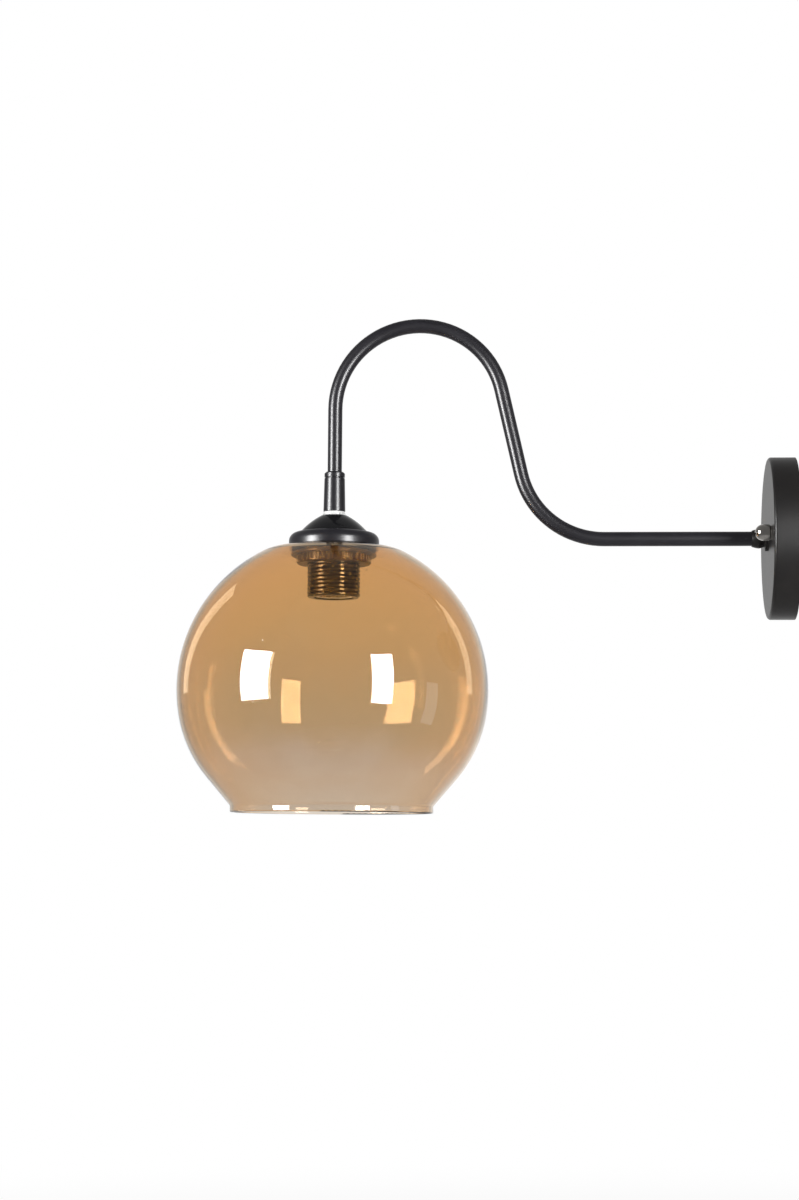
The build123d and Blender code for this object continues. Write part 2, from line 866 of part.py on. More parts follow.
def gallery_ring():
    """The rounded ring over the glass, with the tube that stands it on the lampholder's collar."""
    round_start = gallery_radius - gallery_edge_round
    round_end = dome_bottom - gallery_edge_round
    inner_round = gallery_edge_round - gallery_sheet
    inside = gallery_radius - gallery_sheet
    under = dome_bottom - gallery_sheet
    seat_outer = gallery_seat_bore + gallery_sheet
    share = cos(pi / 4)
    outline = [
        Line((gallery_seat_bore, dome_bottom), (round_start, dome_bottom)),
        ThreePointArc(
            (round_start, dome_bottom),
            (round_start + gallery_edge_round * share, round_end + gallery_edge_round * share),
            (gallery_radius, round_end),
        ),
        Polyline(
            (gallery_radius, round_end),
            (gallery_radius, gallery_bottom + gallery_edge_break),
            (gallery_radius - gallery_edge_break, gallery_bottom),
            (inside, gallery_bottom),
            (inside, round_end),
        ),
        ThreePointArc(
            (inside, round_end),
            (round_start + inner_round * share, round_end + inner_round * share),
            (round_start, under),
        ),
        Polyline(
            (round_start, under),
            (seat_outer, under),
            (seat_outer, collar_top),
            (gallery_seat_bore, collar_top),
            (gallery_seat_bore, dome_bottom),
        ),
    ]
    return at_shade(turned(make_face(outline)))


def holder_cap():
    """The cap that screws over the skirt's neck and holds the insulating core down."""
    top = collar_top + holder_cap_height
    shoulder = collar_top + holder_cap_shoulder
    roof = top - holder_cap_roof
    inner = skirt_neck_radius + seat_gap
    inner_top = holder_cap_top_radius - holder_cap_wall
    bore = sleeve_thread_bore
    return at_shade(
        lathe(
            [
                (bore, top),
                (holder_cap_top_radius, top),
                (holder_cap_radius, shoulder),
                (holder_cap_radius, collar_top),
                (inner, collar_top),
                (inner, skirt_top),
                (core_rim_bore, skirt_top),
                (core_rim_bore, shoulder - holder_cap_wall),
                (inner_top, roof),
                (bore, roof),
            ],
            [(holder_cap_radius, shoulder, holder_cap_shoulder_round)],
        )
    )


def thread_points(start, end):
    """The skirt's outside below its plain stretch, as one ridge for each turn of the thread."""
    flank = (thread_pitch - thread_flat) / 2
    turns = int((start - end) / thread_pitch)
    points = [(skirt_crest_radius - thread_plain_step, start)]
    for turn in range(turns):
        ridge = start - turn * thread_pitch
        points += [
            (skirt_root_radius, ridge),
            (skirt_crest_radius, ridge - flank),
            (skirt_crest_radius, ridge - flank - thread_flat),
        ]
    last = start - turns * thread_pitch
    return points + [(skirt_root_radius, last), (skirt_root_radius, end)]


def holder_skirt():
    plain = skirt_crest_radius - thread_plain_step
    outline = [
        (skirt_bore, skirt_top),
        (skirt_neck_radius, skirt_top),
        (skirt_neck_radius, collar_top),
        (collar_radius, collar_top),
        (collar_radius, collar_bottom),
        (plain, collar_bottom),
    ]
    outline += thread_points(collar_bottom - thread_plain, mouth)
    outline += [(liner_bore, mouth), (liner_bore, mouth + skirt_lip), (skirt_bore, mouth + skirt_lip)]
    return at_shade(lathe(outline))


def shell_tab_blank(grow, low, high):
    """The upright part of the shell's tab, or its way through the core when grow is a gap."""
    half = shell_tab_width / 2 + grow
    thick = shell_tab_sheet / 2 + grow
    return block(shell_tab_place - thick, shell_tab_place + thick, -half, half, low, high)


def insulating_core():
    flange_top = shell_top + shell_sheet
    core = lathe(
        [
            (0, core_top),
            (core_rim_bore, core_top),
            (core_rim_bore, skirt_top),
            (core_outside, skirt_top),
            (core_outside, mouth + skirt_lip),
            (liner_bore, mouth + skirt_lip),
            (liner_bore, flange_top),
            (core_recess_radius, flange_top),
            (core_recess_radius, core_bottom),
            (0, core_bottom),
        ]
    )
    core -= rod(contact_stem_radius + slide_gap, core_bottom - cut_over, core_top + cut_over)
    core -= shell_tab_blank(seat_gap, flange_top - cut_over, core_top + cut_over)
    return at_shade(core)


def screw_shell():
    outer = shell_bore + shell_sheet
    flange_top = shell_top + shell_sheet
    return at_shade(
        lathe(
            [
                (shell_bore, shell_bottom),
                (outer, shell_bottom),
                (outer, flange_top),
                (shell_flange_bore, flange_top),
                (shell_flange_bore, shell_top),
                (shell_bore, shell_top),
            ]
        )
    )


def shell_tab():
    """The tab that brings the shell's side of the circuit up to the neutral terminal."""
    half = shell_tab_width / 2
    near = holder_terminal_offset - holder_terminal_size / 2
    far = shell_tab_place + shell_tab_sheet / 2
    upright = shell_tab_blank(0, shell_top + shell_sheet, core_top)
    return at_shade(upright + block(near, far, -half, half, core_top, terminal_base))


def live_strip():
    """The strip that joins the live terminal and the sprung centre contact."""
    half = strip_width / 2
    far = holder_terminal_offset + holder_terminal_size / 2
    strip = rod(half, core_top, terminal_base) + block(-far, 0, -half, half, core_top, terminal_base)
    hole = rod(contact_stem_radius + slide_gap, core_top - cut_over, terminal_base + cut_over)
    return at_shade(strip - hole)


def centre_contact():
    under = terminal_base + face_gap
    top = under + contact_cap_height
    neck = contact_tip + contact_head_height
    return at_shade(
        lathe(
            [
                (0, contact_tip),
                (contact_head_radius - contact_edge_break, contact_tip),
                (contact_head_radius, contact_tip + contact_edge_break),
                (contact_head_radius, neck),
                (contact_stem_radius, neck),
                (contact_stem_radius, under),
                (contact_cap_radius, under),
                (contact_cap_radius, top),
                (0, top),
            ]
        )
    )


def contact_spring():
    """The contact's coil spring at rest, as a plain ring between the core and the contact's head."""
    bore = contact_stem_radius + slide_gap
    return at_shade(washer(bore + spring_wall, bore, contact_tip + contact_head_height, core_bottom))


def holder_terminal_places():
    return [-holder_terminal_offset, holder_terminal_offset]


def holder_terminals():
    """Two brass blocks, each with a cross hole for a core and a tapped hole for a screw."""
    half = holder_terminal_size / 2
    top = terminal_base + holder_terminal_size
    across = Rot(0, 90, 0) * rod(core_radius + holder_core_gap, -2 * half, 2 * half)
    blocks = []
    for place in holder_terminal_places():
        body = block(-half, half, -half, half, terminal_base, top)
        body -= Pos(0, 0, terminal_wire_height) * across
        body -= rod(holder_screw_radius + seat_gap, terminal_wire_height, top + cut_over)
        blocks.append(at_shade(Pos(place, 0, 0) * body))
    return group(blocks)


def holder_terminal_screws():
    head = terminal_base + holder_terminal_size + holder_screw_lift
    tip = terminal_wire_height + core_radius
    screws = []
    for place in holder_terminal_places():
        screw = slotted_screw(holder_screw_radius, tip, head, holder_screw_head, holder_screw_head_height)
        screws.append(at_shade(Pos(place, 0, 0) * screw))
    return group(screws)


def holder_lead():
    return at_shade(rod(lead_radius, lead_bottom, journal_end - lead_gap / 2))


def holder_core(side):
    """A core of the lead, from inside the holder cap to its terminal."""
    inner = side * holder_core_spread
    end = side * (holder_terminal_offset + holder_screw_radius)
    points = [(inner, 0, lead_bottom), (inner, 0, terminal_wire_height), (end, 0, terminal_wire_height)]
    return at_shade(wire_along(points, [holder_core_bend]))


def upper_gasket():
    return at_shade(washer(collar_radius, neck_hole_radius, globe_top, collar_bottom))


# ---------------------------------------------------------------- shade
def globe_section(inset, rim):
    """Half the globe's section, moved into the glass by inset and closed at the rim's height."""
    top = globe_top - inset
    radius = globe_radius - inset
    lower_radius = radius - globe_turn_step
    first = radians(globe_turn_start)
    last = radians(globe_turn_end)
    shoulder_start = asin((top - globe_centre) / radius)

    def on_globe(angle):
        return radius * cos(angle), globe_centre - radius * sin(angle)

    def on_turn(angle):
        across = globe_turn_step * cos(first) + lower_radius * cos(angle)
        return across, globe_centre - globe_turn_step * sin(first) - lower_radius * sin(angle)

    shoulder = on_globe(-shoulder_start)
    belly = on_globe(first)
    cone = on_turn(last)
    lip_across = lip_radius - inset
    lip = (lip_across, cone[1] - (cone[0] - lip_across) / tan(last))
    outline = [
        ThreePointArc(shoulder, on_globe((first - shoulder_start) / 2), belly),
        ThreePointArc(belly, on_turn((first + last) / 2), cone),
        Polyline(cone, lip, (lip_across, rim), (0, rim), (0, top), shoulder),
    ]
    face = make_face(outline)
    face = fillet(face.vertices().sort_by_distance(shoulder)[0], globe_shoulder_round - inset)
    return fillet(face.vertices().sort_by_distance(lip)[0], lip_bend + inset)


def globe_rim():
    """The height of the globe's cut rim."""
    first = radians(globe_turn_start)
    last = radians(globe_turn_end)
    lower_radius = globe_radius - globe_turn_step
    across = globe_turn_step * cos(first) + lower_radius * cos(last)
    height = globe_centre - globe_turn_step * sin(first) - lower_radius * sin(last)
    return height - (across - lip_radius) / tan(last) - lip_height


def glass_shade():
    rim = globe_rim()
    glass = turned(globe_section(0, rim)) - turned(globe_section(globe_wall, rim - cut_over))
    glass -= rod(neck_hole_radius, globe_top - 2 * globe_wall, globe_top + cut_over)
    glass = fillet(glass.edges().group_by(Axis.Z)[0], lip_round)
    return at_shade(glass)


def lower_gasket():
    high = globe_top - globe_wall
    return at_shade(washer(ring_radius, neck_hole_radius, high - lower_gasket_sheet, high))


def ribbed_disc(radius, depth, ribs):
    """A disc's outline with flat ribs round its edge."""
    share_and_depth = ((0.0, depth), (0.3, depth), (0.45, 0), (0.85, 0))
    points = []
    for rib in range(ribs):
        for share, drop in share_and_depth:
            angle = 2 * pi * (rib + share) / ribs
            points.append(((radius - drop) * cos(angle), (radius - drop) * sin(angle)))
    return make_face(Polyline(*points, close=True))


def shade_ring():
    flange_bottom = ring_top - ring_flange_height
    flange = lathe(
        [
            (ring_bore, flange_bottom),
            (ring_flange_radius, flange_bottom),
            (ring_flange_radius, ring_top),
            (ring_bore, ring_top),
        ],
        [
            (ring_flange_radius, flange_bottom, ring_flange_round),
            (ring_flange_radius, ring_top, ring_flange_round),
        ],
    )
    body_height = flange_bottom - ring_bottom
    body = Pos(0, 0, ring_bottom) * extrude(ribbed_disc(ring_radius, ring_rib_depth, ring_ribs), body_height)
    outside = lathe(
        [
            (0, ring_bottom),
            (ring_radius - ring_edge_break, ring_bottom),
            (ring_radius, ring_bottom + ring_edge_break),
            (ring_radius, flange_bottom),
            (0, flange_bottom),
        ]
    )
    body = (body & outside) - rod(ring_bore, ring_bottom - cut_over, flange_bottom + cut_over)
    return at_shade(flange + body)


pieces = {
    "wall_plate": wall_plate(),
    "canopy": canopy(),
    "canopy_stud": canopy_stud(),
    "cap_nut": cap_nut(),
    "root_socket": root_socket(),
    "root_lock_washer": root_lock_washer(),
    "root_lock_nut": root_lock_nut(),
    "arm_tube": arm_tube(),
    "arm_lead": arm_lead(),
    "lead_bush": lead_bush(),
    "terminal_block": terminal_block(),
    "terminal_clamps": terminal_clamps(),
    "terminal_screws": terminal_screws(),
    "block_screw": block_screw(),
    "live_tail": supply_tail(1, live_core_turn),
    "neutral_tail": supply_tail(-1, neutral_core_turn),
    "earth_tail": earth_tail(),
    "earth_lug": earth_lug(),
    "earth_screw": earth_screw(),
    "swivel_cap": swivel_cap(),
    "swivel_retaining_ring": swivel_retaining_ring(),
    "swivel_sleeve": swivel_sleeve(),
    "swivel_stop_pin": swivel_stop_pin(),
    "spacer_ring": spacer_ring(),
    "holder_nipple": holder_nipple(),
    "nipple_nut": nipple_nut(),
    "dome_cover": dome_cover(),
    "gallery_ring": gallery_ring(),
    "holder_cap": holder_cap(),
    "holder_skirt": holder_skirt(),
    "insulating_core": insulating_core(),
    "screw_shell": screw_shell(),
    "shell_tab": shell_tab(),
    "live_strip": live_strip(),
    "centre_contact": centre_contact(),
    "contact_spring": contact_spring(),
    "holder_terminals": holder_terminals(),
    "holder_terminal_screws": holder_terminal_screws(),
    "holder_lead": holder_lead(),
    "holder_live_core": holder_core(-1),
    "holder_neutral_core": holder_core(1),
    "upper_gasket": upper_gasket(),
    "glass_shade": glass_shade(),
    "lower_gasket": lower_gasket(),
    "shade_ring": shade_ring(),
}

os.makedirs("parts", exist_ok=True)
for node, shape in pieces.items():
    export_step(shape, f"parts/{node}.step")

print("arm bend radius", bend_radius, "straight run ends", round(run_end, 2), "arch", round(arch_centre, 2))
print("tube end", round(tube_end, 2), "dome top", round(dome_top, 2), "mouth", round(mouth, 2))
print("globe top", round(globe_top, 2), "centre", round(globe_centre, 2), "rim", round(globe_rim(), 2))
print("contact tip", round(contact_tip, 2), "shell", round(shell_bottom, 2), round(shell_top, 2))
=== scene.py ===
import json
from math import cos, pi, radians, sin

import bmesh
import bpy
from mathutils import Matrix, Vector


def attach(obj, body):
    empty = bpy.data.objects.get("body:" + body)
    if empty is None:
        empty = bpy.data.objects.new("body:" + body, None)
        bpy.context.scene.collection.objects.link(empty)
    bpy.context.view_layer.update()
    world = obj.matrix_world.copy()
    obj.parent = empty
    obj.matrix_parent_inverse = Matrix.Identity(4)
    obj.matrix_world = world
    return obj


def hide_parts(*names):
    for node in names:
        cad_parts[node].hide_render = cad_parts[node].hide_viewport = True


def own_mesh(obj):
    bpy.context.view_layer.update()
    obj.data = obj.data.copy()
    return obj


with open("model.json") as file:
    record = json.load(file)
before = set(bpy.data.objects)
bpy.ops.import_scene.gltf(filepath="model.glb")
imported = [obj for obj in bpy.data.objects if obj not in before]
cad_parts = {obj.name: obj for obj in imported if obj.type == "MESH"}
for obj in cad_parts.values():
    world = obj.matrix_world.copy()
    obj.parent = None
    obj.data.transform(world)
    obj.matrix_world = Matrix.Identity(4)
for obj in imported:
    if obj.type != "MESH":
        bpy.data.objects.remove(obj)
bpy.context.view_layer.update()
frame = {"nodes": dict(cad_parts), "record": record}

scene = bpy.context.scene
scene.view_settings.view_transform = "Standard"

# ---------------------------------------------------------------- sizes repeated from the CAD (metres)
SHADE_AXIS = -0.3185  # x of the shade's axis
GLASS_RIM, GLASS_TOP = -0.1901, -0.0059
SKIRT_BORE = 0.0154
SKIRT_NECK = 0.0165
SKIRT_TOP = 0.00159
COLLAR_RADIUS = 0.024
COLLAR_TOP, COLLAR_BOTTOM = -0.00261, -0.00461
SKIRT_PLAIN = 0.0182  # radius of the stretch above the thread
THREAD_CREST, THREAD_ROOT = 0.01845, 0.01735
THREAD_START, MOUTH = -0.00921, -0.04081
THREAD_PITCH = 0.00283
LINER_BORE, SKIRT_LIP = 0.01405, 0.001
SHELL_BORE, SHELL_SHEET = 0.01325, 0.0005
SHELL_TOP, SHELL_BOTTOM = -0.01861, -0.03901
SHELL_FLANGE_BORE = 0.01125
LAMP_PITCH = 0.00362
LAMP_THREAD = 0.001  # depth of the shell's rolled thread
SPRING_INNER, SPRING_OUTER = 0.0016, 0.0025
SPRING_LOW, SPRING_HIGH = -0.01631, -0.01281

# ---------------------------------------------------------------- node helpers


class Shader:
    """A node material or world, built by short calls."""

    def __init__(self, tree):
        self.tree = tree
        self.tree.nodes.clear()

    def add(self, kind, **values):
        """A new node; each value is one of its settings, or else an input, with _ for a space."""
        node = self.tree.nodes.new(kind)
        for key, value in values.items():
            if hasattr(node, key):
                setattr(node, key, value)
            else:
                node.inputs[key.replace("_", " ")].default_value = value
        return node

    def link(self, output, target):
        self.tree.links.new(output, target)

    def math(self, operation, first, second):
        """One calculation; each side is a node's output or a number."""
        node = self.add("ShaderNodeMath", operation=operation)
        for socket, value in zip(node.inputs, (first, second)):
            if isinstance(value, (int, float)):
                socket.default_value = value
            else:
                self.link(value, socket)
        return node.outputs["Value"]

    def remap(self, value, low, high, from_low=0.3, from_high=0.7, smooth=False):
        """Low to high as value goes from from_low to from_high, which suits a noise as it is."""
        kind = "SMOOTHSTEP" if smooth else "LINEAR"
        node = self.add("ShaderNodeMapRange", interpolation_type=kind)
        node.inputs["From Min"].default_value = from_low
        node.inputs["From Max"].default_value = from_high
        node.inputs["To Min"].default_value = low
        node.inputs["To Max"].default_value = high
        self.link(value, node.inputs["Value"])
        return node.outputs["Result"]

    def noise(self, place, scale, detail=3.0, stretch=(1, 1, 1)):
        """Noise in the object's own space, one wave for each 1 / scale of a metre."""
        mapping = self.add("ShaderNodeMapping")
        mapping.inputs["Scale"].default_value = stretch
        self.link(place, mapping.inputs["Vector"])
        node = self.add("ShaderNodeTexNoise", Scale=scale, Detail=detail)
        self.link(mapping.outputs["Vector"], node.inputs["Vector"])
        return node.outputs["Fac"]

    def tones(self, value, stops):
        """A colour for each place along value, from (place, colour) stops."""
        ramp = self.add("ShaderNodeValToRGB")
        ends = ramp.color_ramp.elements
        ends[0].position, ends[0].color = stops[0][0], (*stops[0][1], 1)
        ends[1].position, ends[1].color = stops[-1][0], (*stops[-1][1], 1)
        for position, colour in stops[1:-1]:
            ends.new(position).color = (*colour, 1)
        self.link(value, ramp.inputs["Fac"])
        return ramp.outputs["Color"]

    def relief(self, height, distance, under=None):
        """A bump of some depth in metres, on top of another bump if one is given."""
        bump = self.add("ShaderNodeBump", Strength=1.0, Distance=distance)
        self.link(height, bump.inputs["Height"])
        if under is not None:
            self.link(under, bump.inputs["Normal"])
        return bump.outputs["Normal"]


def new_material(name):
    """A material with one principled shader, and its object coordinates."""
    material = bpy.data.materials.new(name)
    material.use_nodes = True
    shader = Shader(material.node_tree)
    output = shader.add("ShaderNodeOutputMaterial")
    body = shader.add("ShaderNodeBsdfPrincipled")
    shader.link(body.outputs["BSDF"], output.inputs["Surface"])
    place = shader.add("ShaderNodeTexCoord").outputs["Object"]
    return material, shader, body, place


# ---------------------------------------------------------------- finishes
BLOTCH_SCALE = 35.0
BLOTCH_DARK, BLOTCH_LIGHT = 0.32, 0.68  # noise levels at which each tone is reached
GRAIN_DETAIL = 5.0


def finish(name, dark, light, rough, grain, depth, **sockets):
    """Two tones in slow blotches, with roughness and a fine relief from a grain of some depth."""
    material, shader, body, place = new_material(name + "_finish")
    for key, value in sockets.items():
        body.inputs[key.replace("_", " ")].default_value = value
    slow = shader.noise(place, BLOTCH_SCALE)
    fine = shader.noise(place, grain, GRAIN_DETAIL)
    blotches = shader.tones(slow, ((BLOTCH_DARK, dark), (BLOTCH_LIGHT, light)))
    shader.link(blotches, body.inputs["Base Color"])
    shader.link(shader.remap(fine, *rough), body.inputs["Roughness"])
    shader.link(shader.relief(fine, depth), body.inputs["Normal"])
    return material


GLASS_IOR = 1.5
CLOUD_SCALE, CLOUD_SHIFT = 16.0, 0.012  # how far the tint's height wanders, in metres
WAVE_SCALE, WAVE_STRETCH, WAVE_DEPTH = 11.0, (1, 1, 0.6), 0.002
SEED_SCALE, SEED_RADIUS, SEED_DEPTH = 90.0, 0.055, 0.00015  # radius as a share of a cell
HAZE_SCALE, HAZE_ROUGHNESS = 400.0, 0.012
PAINTED_GLOW_START, PAINTED_GLOW_FULL = 0.15, 0.85  # how far the wall is turned away where the painted glow starts and where it is full

# Tint of one pass through the wall, from the rim's height up to the neck's.
GLASS_TONES = (
    (0.0, (0.77, 0.69, 0.60)),
    (0.10, (0.76, 0.67, 0.575)),
    (0.19, (0.735, 0.62, 0.51)),
    (0.28, (0.71, 0.575, 0.42)),
    (0.40, (0.715, 0.572, 0.40)),
    (0.55, (0.74, 0.57, 0.38)),
    (0.70, (0.77, 0.578, 0.362)),
    (1.0, (0.81, 0.58, 0.34)),
)
# A painted glow: a brighter amber put into the wall's colour where it is seen edge on, standing in for
# the light that runs inside the glass.
GLASS_PAINTED_GLOW_TONE = (1.0, 0.70, 0.42)


def amber_glass():
    """Clear glass, amber at the neck and fading to smoke at the rim, with a painted glow where the wall
    is seen edge on, waves and a few seeds.
    """
    material, shader, body, place = new_material("amber_glass_finish")
    body.inputs["Transmission Weight"].default_value = 1.0
    body.inputs["IOR"].default_value = GLASS_IOR

    split = shader.add("ShaderNodeSeparateXYZ")
    shader.link(place, split.inputs["Vector"])
    cloud = shader.remap(shader.noise(place, CLOUD_SCALE), -CLOUD_SHIFT, CLOUD_SHIFT)
    height = shader.math("ADD", split.outputs["Z"], cloud)
    level = shader.remap(height, 0.0, 1.0, GLASS_RIM, GLASS_TOP)
    # painted glow: the colour turns to a bright amber as the wall turns edge on, standing in for light
    # inside the glass
    edge = shader.add("ShaderNodeLayerWeight", Blend=0.5)
    painted_glow_share = shader.remap(edge.outputs["Facing"], 0.0, 1.0, PAINTED_GLOW_START, PAINTED_GLOW_FULL)
    tint_and_painted_glow = shader.add("ShaderNodeMix", data_type="RGBA")
    shader.link(painted_glow_share, tint_and_painted_glow.inputs["Factor"])
    shader.link(shader.tones(level, GLASS_TONES), tint_and_painted_glow.inputs["A"])
    tint_and_painted_glow.inputs["B"].default_value = (*GLASS_PAINTED_GLOW_TONE, 1)
    shader.link(tint_and_painted_glow.outputs["Result"], body.inputs["Base Color"])

    waves = shader.relief(shader.noise(place, WAVE_SCALE, 1.0, WAVE_STRETCH), WAVE_DEPTH)
    cells = shader.add("ShaderNodeTexVoronoi", Scale=SEED_SCALE)
    shader.link(place, cells.inputs["Vector"])
    seeds = shader.remap(cells.outputs["Distance"], 1.0, 0.0, 0.0, SEED_RADIUS, smooth=True)
    shader.link(shader.relief(seeds, SEED_DEPTH, under=waves), body.inputs["Normal"])
    haze = shader.remap(shader.noise(place, HAZE_SCALE), 0.0, HAZE_ROUGHNESS)
    shader.link(haze, body.inputs["Roughness"])
    return material


# A finish for each material slot. One under a node's own name comes before its slot's.
FINISHES = {
    "plated_steel": finish(
        "plated_steel", (0.48, 0.48, 0.47), (0.62, 0.62, 0.60), (0.22, 0.38), 900, 0.00002,
        Metallic=1.0,
    ),
    "black_paint": finish(
        "black_paint", (0.011, 0.010, 0.010), (0.016, 0.014, 0.013), (0.33, 0.39), 2200, 0.000006,
        IOR=1.4,
    ),
    "gloss_black_paint": finish(
        "gloss_black", (0.005, 0.005, 0.006), (0.009, 0.009, 0.010), (0.08, 0.13), 500, 0.000004
    ),
    "gunmetal": finish(
        "gunmetal", (0.013, 0.012, 0.016), (0.019, 0.018, 0.023), (0.29, 0.33), 1800, 0.000001
    ),
    "nickel": finish(
        "nickel", (0.60, 0.57, 0.53), (0.72, 0.69, 0.65), (0.08, 0.16), 700, 0.000006,
        Metallic=1.0,
    ),
    "brass": finish(
        "brass", (0.62, 0.44, 0.18), (0.78, 0.58, 0.27), (0.20, 0.34), 900, 0.00001,
        Metallic=1.0,
    ),
    "spring_steel": finish(
        "spring_steel", (0.42, 0.42, 0.43), (0.55, 0.55, 0.56), (0.25, 0.35), 1200, 0.00001,
        Metallic=1.0,
    ),
    "white_nylon": finish(
        "white_nylon", (0.84, 0.84, 0.83), (0.90, 0.90, 0.89), (0.35, 0.48), 900, 0.00001
    ),
    "black_phenolic": finish(
        "black_phenolic", (0.060, 0.048, 0.016), (0.092, 0.074, 0.026), (0.13, 0.18), 800, 0.000002,
        IOR=1.6,
    ),
    "shade_ring": finish(
        "brown_phenolic", (0.115, 0.082, 0.024), (0.165, 0.118, 0.036), (0.30, 0.38), 800, 0.000002
    ),
    "white_ceramic": finish(
        "white_ceramic", (0.74, 0.72, 0.68), (0.84, 0.82, 0.78), (0.55, 0.70), 1600, 0.00004
    ),
    "black_rubber": finish(
        "black_rubber", (0.014, 0.014, 0.014), (0.024, 0.024, 0.024), (0.65, 0.80), 2000, 0.00004
    ),
    "lead_sheath": finish(
        "lead_sheath", (0.018, 0.018, 0.018), (0.030, 0.030, 0.030), (0.45, 0.60), 1500, 0.00002
    ),
    "brown_core": finish(
        "brown_core", (0.16, 0.07, 0.03), (0.22, 0.10, 0.045), (0.40, 0.52), 1500, 0.00001
    ),
    "blue_core": finish(
        "blue_core", (0.03, 0.12, 0.36), (0.05, 0.17, 0.46), (0.40, 0.52), 1500, 0.00001
    ),
    "green_core": finish(
        "green_core", (0.18, 0.34, 0.05), (0.32, 0.46, 0.06), (0.40, 0.52), 1500, 0.00001
    ),
    "amber_glass": amber_glass(),
}

slot_of = {part["node"]: part["material_slot"] for part in frame["record"]["subparts"]}
for node, holder in frame["nodes"].items():
    for place in holder.material_slots:
        place.material = FINISHES.get(node, FINISHES[slot_of[node]])

# ---------------------------------------------------------------- pieces with a real thread or coil
SEGMENTS = 96  # points round a thread
SAMPLES = 12  # points across one pitch of it
WELD = 1e-6  # points nearer than this become one
SHARP_ANGLE = radians(35)


def add_piece(mesh, name, node, body):
    """Cleans the mesh, stands it on the shade's axis and lets it stand for its CAD node."""
    bmesh.ops.remove_doubles(mesh, verts=mesh.verts, dist=WELD)
    bmesh.ops.recalc_face_normals(mesh, faces=mesh.faces)
    bmesh.ops.translate(mesh, verts=mesh.verts, vec=(SHADE_AXIS, 0, 0))
    data = bpy.data.meshes.new(name)
    mesh.to_mesh(data)
    mesh.free()
    data.materials.append(FINISHES[slot_of[node]])
    piece = bpy.data.objects.new(name, data)
    scene.collection.objects.link(piece)
    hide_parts(node)
    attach(piece, body)
    return piece


def sharpen(piece):
    """Smooth shading, with the sharp edges kept."""
    mesh = bmesh.new()
    mesh.from_mesh(piece.data)
    for face in mesh.faces:
        face.smooth = True
    for edge in mesh.edges:
        edge.smooth = len(edge.link_faces) == 2 and edge.calc_face_angle(0) < SHARP_ANGLE
    mesh.to_mesh(piece.data)
    mesh.free()


def circle(mesh, radius, height):
    """Points round the axis, as many as a thread has."""
    turns = [2 * pi * step / SEGMENTS for step in range(SEGMENTS)]
    return [mesh.verts.new((radius * cos(turn), radius * sin(turn), height)) for turn in turns]


def join_rings(mesh, rings):
    """Faces between each ring of points and the next."""
    for first, second in zip(rings, rings[1:]):
        for step in range(len(first)):
            after = (step + 1) % len(first)
            mesh.faces.new((first[step], first[after], second[after], second[step]))


def lathe(mesh, section):
    """Faces round the axis along a section of (radius, height) corners."""
    join_rings(mesh, [circle(mesh, radius, height) for radius, height in section])


def round_ridge(share):
    """The height of a rolled ridge, 0 to 1, at a share of the way across one pitch."""
    return 0.5 - 0.5 * cos(2 * pi * share)


def flat_ridge(share):
    """The same for a moulded ridge with a flat crest and a sharp root."""
    steepness = 1.9
    return min(1.0, steepness * (1 - abs(2 * share % 2 - 1)))


def threaded_face(mesh, root, crest, start, end, pitch, ridge):
    """A right-hand thread's surface from start down to end, where it runs out to level circles."""
    turns = int((start - end) / pitch) + 3
    runout = 0.3 * pitch

    def point(step, row):
        turn = 2 * pi * step / SEGMENTS
        raw = start + pitch * (1 + step / SEGMENTS - row / SAMPLES)
        height = min(start, max(end, raw))
        near_end = min(1.0, (start - height) / runout, (height - end) / runout)
        radius = root + (crest - root) * ridge(row / SAMPLES) * near_end
        return radius * cos(turn), radius * sin(turn), height

    rows = turns * SAMPLES
    columns = [[mesh.verts.new(point(step, row)) for row in range(rows)] for step in range(SEGMENTS)]
    for step in range(SEGMENTS):
        last = step == SEGMENTS - 1
        after = columns[0] if last else columns[step + 1]
        shift = SAMPLES if last else 0
        for row in range(rows - 1):
            lower = row + 1 - shift
            if lower < 1:
                continue
            corners = (columns[step][row], after[lower - 1], after[lower], columns[step][row + 1])
            # beyond the ends the points lie on the end circle, so a face there has no area
            if len({tuple(round(c, 7) for c in corner.co) for corner in corners}) > 2:
                mesh.faces.new(corners)


def threaded_skirt():
    mesh = bmesh.new()
    threaded_face(mesh, THREAD_ROOT, THREAD_CREST, THREAD_START, MOUTH, THREAD_PITCH, flat_ridge)
    lathe(mesh, (
        (THREAD_ROOT, MOUTH),
        (LINER_BORE, MOUTH),
        (LINER_BORE, MOUTH + SKIRT_LIP),
        (SKIRT_BORE, MOUTH + SKIRT_LIP),
        (SKIRT_BORE, SKIRT_TOP),
        (SKIRT_NECK, SKIRT_TOP),
        (SKIRT_NECK, COLLAR_TOP),
        (COLLAR_RADIUS, COLLAR_TOP),
        (COLLAR_RADIUS, COLLAR_BOTTOM),
        (SKIRT_PLAIN, COLLAR_BOTTOM),
        (SKIRT_PLAIN, THREAD_START),
        (THREAD_ROOT, THREAD_START),
    ))
    return add_piece(mesh, "threaded_skirt", "holder_skirt", "lampholder")


